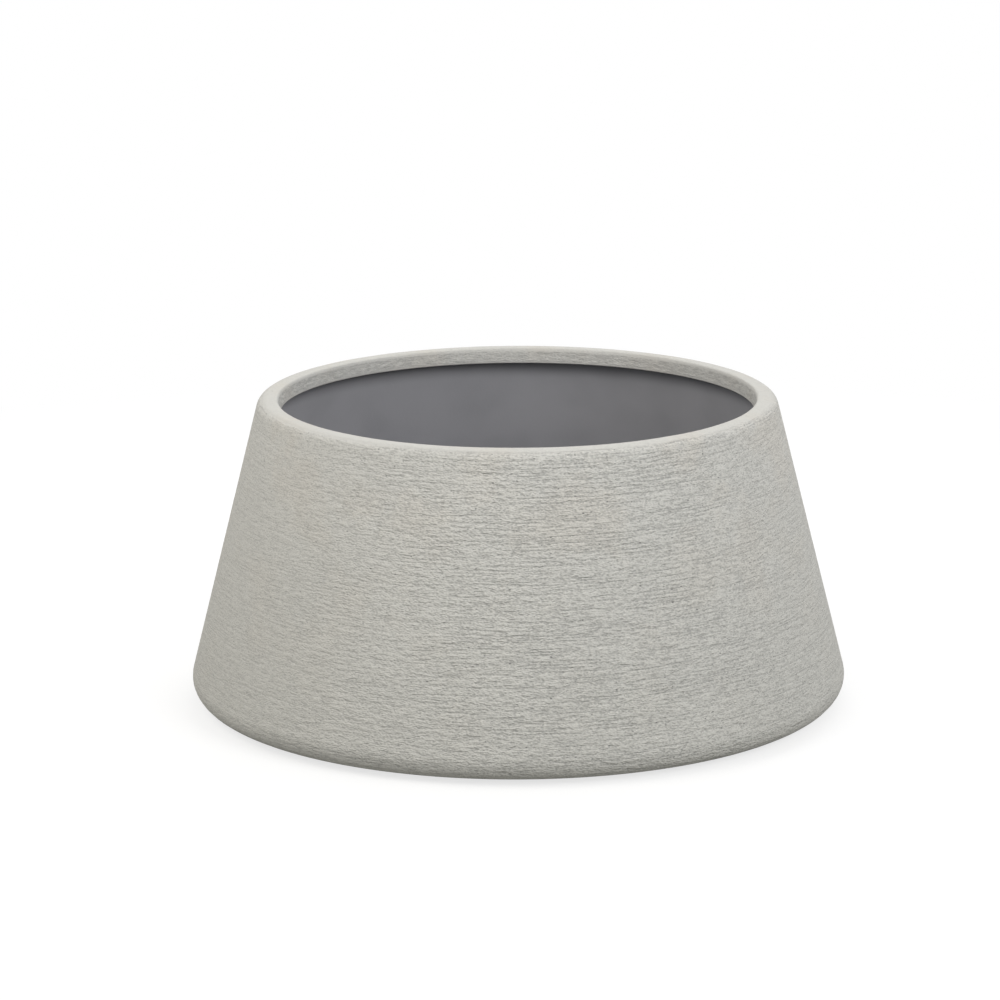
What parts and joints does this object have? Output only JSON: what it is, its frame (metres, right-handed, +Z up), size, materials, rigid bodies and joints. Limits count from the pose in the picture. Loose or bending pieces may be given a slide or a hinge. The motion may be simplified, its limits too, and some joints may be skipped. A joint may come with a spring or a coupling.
{
  "type": "tapered planter",
  "caption": "Low round tapered planter, wide at the base and narrower at its lipped mouth, with combed pale walls, a dark lining, pull-out drain plugs and foot pads.",
  "frame": {"origin": "on the planter's axis, at the ground under the foot pads", "axes": "+Z up along the planter's axis; +X through the centre of foot_pad_1, +Y through drain_plug_1"},
  "size_m": [0.6, 0.6, 0.28],
  "materials": {
    "pale_face": "matte",
    "dark_lining": "matte",
    "plug_rubber": "matte",
    "pad_rubber": "matte"
  },
  "bodies": {
    "planter": {"outer_shell": "pale_face", "inner_lining": "dark_lining", "foot_pad_1": "pad_rubber", "foot_pad_2": "pad_rubber", "foot_pad_3": "pad_rubber", "foot_pad_4": "pad_rubber", "foot_pad_5": "pad_rubber", "foot_pad_6": "pad_rubber"},
    "drain_plug_1": {"drain_plug_1": "plug_rubber"},
    "drain_plug_2": {"drain_plug_2": "plug_rubber"},
    "drain_plug_3": {"drain_plug_3": "plug_rubber"}
  },
  "joints": [
    {"name": "drain_plug_1_pull", "type": "slide", "parent": "planter", "child": "drain_plug_1", "axis": [0, 0, 1], "range_m": [0, 0.3]},
    {"name": "drain_plug_2_pull", "type": "slide", "parent": "planter", "child": "drain_plug_2", "axis": [0, 0, 1], "range_m": [0, 0.3]},
    {"name": "drain_plug_3_pull", "type": "slide", "parent": "planter", "child": "drain_plug_3", "axis": [0, 0, 1], "range_m": [0, 0.3]}
  ]
}
